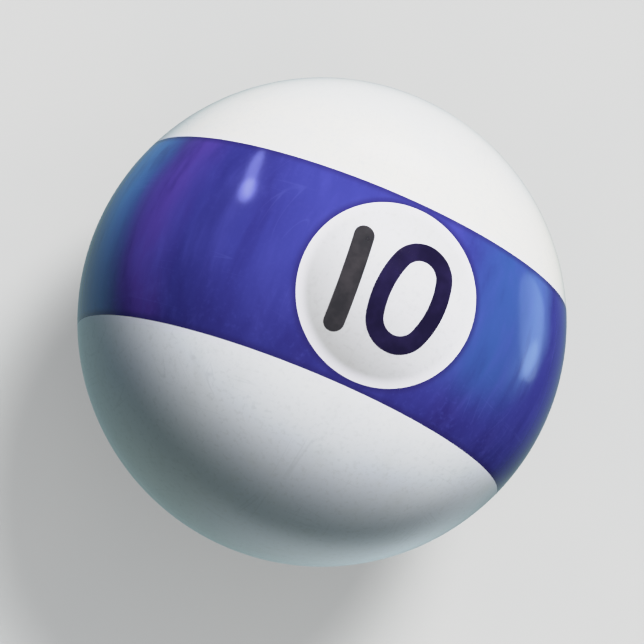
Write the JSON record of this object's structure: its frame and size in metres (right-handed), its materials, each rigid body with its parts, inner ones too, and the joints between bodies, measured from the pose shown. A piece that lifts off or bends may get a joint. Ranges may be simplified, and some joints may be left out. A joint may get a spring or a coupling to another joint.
{
  "type": "numbered pool ball",
  "caption": "Striped pool ball for pocket billiards: a polished white sphere with a wide blue stripe and a numbered white disc on each side.",
  "frame": {"origin": "the ball's centre", "axes": "+Z out through the middle of the upper number disc, +Y along the stripe's axis towards the top of the numerals, +X to the right of someone reading the upper number"},
  "size_m": [0.0572, 0.0572, 0.0572],
  "materials": {
    "white_resin": "polished",
    "blue_resin": "polished",
    "disc_resin": "polished",
    "black_resin": "polished"
  },
  "bodies": {
    "root": {"white_body": "white_resin", "stripe_ring": "blue_resin", "upper_number_disc": "disc_resin", "upper_numeral_one": "black_resin", "upper_numeral_zero": "black_resin", "upper_zero_centre": "disc_resin", "lower_number_disc": "disc_resin", "lower_numeral_one": "black_resin", "lower_numeral_zero": "black_resin", "lower_zero_centre": "disc_resin"}
  },
  "joints": []
}
